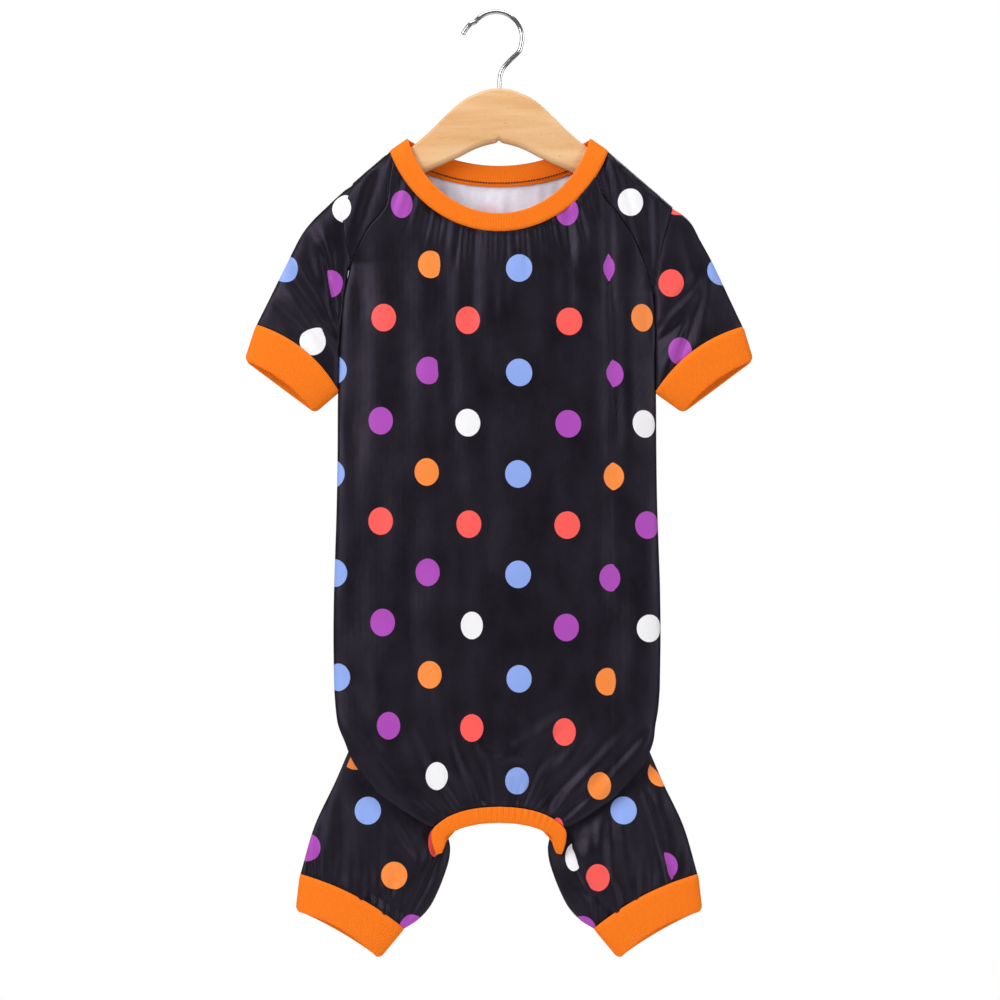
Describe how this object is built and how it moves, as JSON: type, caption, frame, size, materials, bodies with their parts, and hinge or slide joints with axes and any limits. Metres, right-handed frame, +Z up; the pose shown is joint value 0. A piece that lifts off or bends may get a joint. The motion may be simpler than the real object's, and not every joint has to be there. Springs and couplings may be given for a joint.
{
  "type": "dog pyjama costume on a clothes hanger",
  "caption": "Black polka-dot dog pyjama costume with orange rib trims, hanging flat on a wooden hanger with a wire hook.",
  "frame": {"origin": "the inner top of the hanger's hook, where it rests on a rail", "axes": "+Z up, -Y towards the panel over the dog's back, which faces the viewer, +X to the viewer's right"},
  "size_m": [0.3818, 0.0278, 0.712],
  "materials": {
    "printed_knit": "soft",
    "rib_knit": "soft",
    "beech": "satin",
    "hook_wire": "polished"
  },
  "bodies": {
    "root": {"back_panel": "printed_knit", "belly_panel": "printed_knit", "shoulder_left": "printed_knit", "shoulder_right": "printed_knit", "sleeve_left": "printed_knit", "sleeve_right": "printed_knit", "sleeve_cuff_left": "rib_knit", "sleeve_cuff_right": "rib_knit", "leg_left": "printed_knit", "leg_right": "printed_knit", "leg_cuff_left": "rib_knit", "leg_cuff_right": "rib_knit", "neck_band": "rib_knit", "rear_binding": "rib_knit", "hanger_wood": "beech", "hanger_hook": "hook_wire"}
  },
  "joints": []
}
